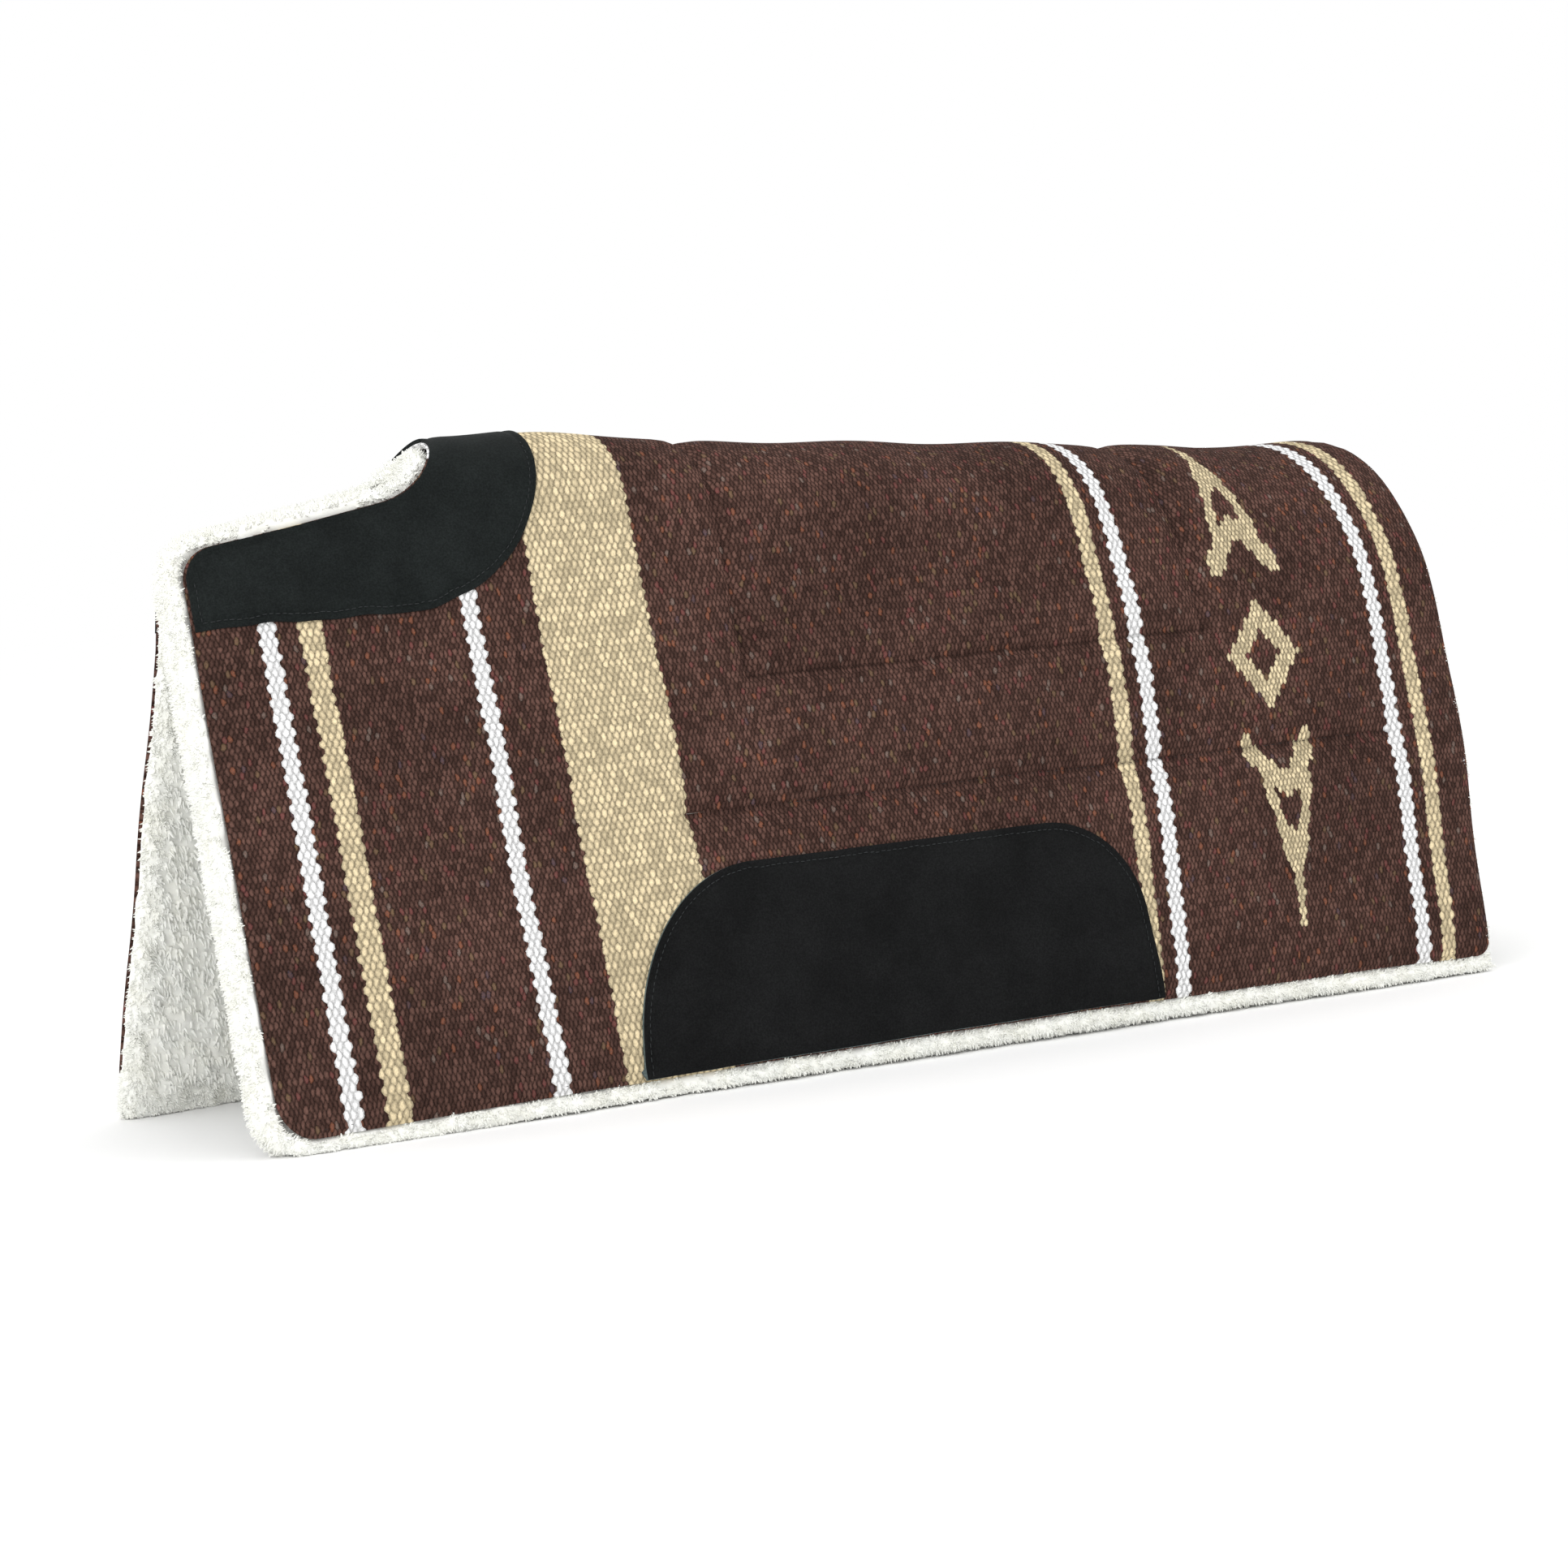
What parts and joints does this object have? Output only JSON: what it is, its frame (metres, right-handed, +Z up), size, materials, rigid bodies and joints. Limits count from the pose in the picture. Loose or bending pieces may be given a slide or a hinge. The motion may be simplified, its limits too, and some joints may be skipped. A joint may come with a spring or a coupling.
{
  "type": "saddle pad",
  "caption": "Rectangular woven saddle pad with a cut-back withers notch, felt core, fleece lining, suede withers patch and wear leathers, folded over its spine.",
  "frame": {"origin": "middle of the box's base, on the surface that the two hems stand on", "axes": "+X back along the spine towards the tail end, +Y to the horse's right, +Z up"},
  "size_m": [0.8198, 0.3464, 0.3664],
  "materials": {
    "woven_wool": "matte rug weave with tan and white stripes",
    "felt": "matte pressed felt",
    "fleece": "deep cream plush pile",
    "suede": "black napped suede",
    "suede_thread": "waxed thread",
    "quilt_thread": "brown thread"
  },
  "bodies": {
    "spine": {"spine_cover": "woven_wool", "spine_core": "felt", "spine_fleece": "fleece", "spine_withers_patch": "suede", "spine_patch_seam": "suede_thread", "spine_quilting": "quilt_thread", "spine_edge_seam": "quilt_thread"},
    "left_flap": {"left_cover": "woven_wool", "left_core": "felt", "left_fleece": "fleece", "left_withers_patch": "suede", "left_wear_leather": "suede", "left_patch_seam": "suede_thread", "left_wear_seam": "suede_thread", "left_quilting": "quilt_thread", "left_edge_seam": "quilt_thread"},
    "right_flap": {"right_cover": "woven_wool", "right_core": "felt", "right_fleece": "fleece", "right_withers_patch": "suede", "right_wear_leather": "suede", "right_patch_seam": "suede_thread", "right_wear_seam": "suede_thread", "right_quilting": "quilt_thread", "right_edge_seam": "quilt_thread"}
  },
  "joints": [
    {"name": "left_flap_fold", "type": "hinge", "parent": "spine", "child": "left_flap", "pos_m": [-0.02345, -0.04027, 0.33901], "axis": [-0.9929, 0.0772, 0.0903], "range_deg": [-3, 70]},
    {"name": "right_flap_fold", "type": "hinge", "parent": "spine", "child": "right_flap", "pos_m": [-0.02345, 0.04027, 0.33901], "axis": [0.9929, 0.0772, -0.0903], "range_deg": [-3, 70]}
  ]
}
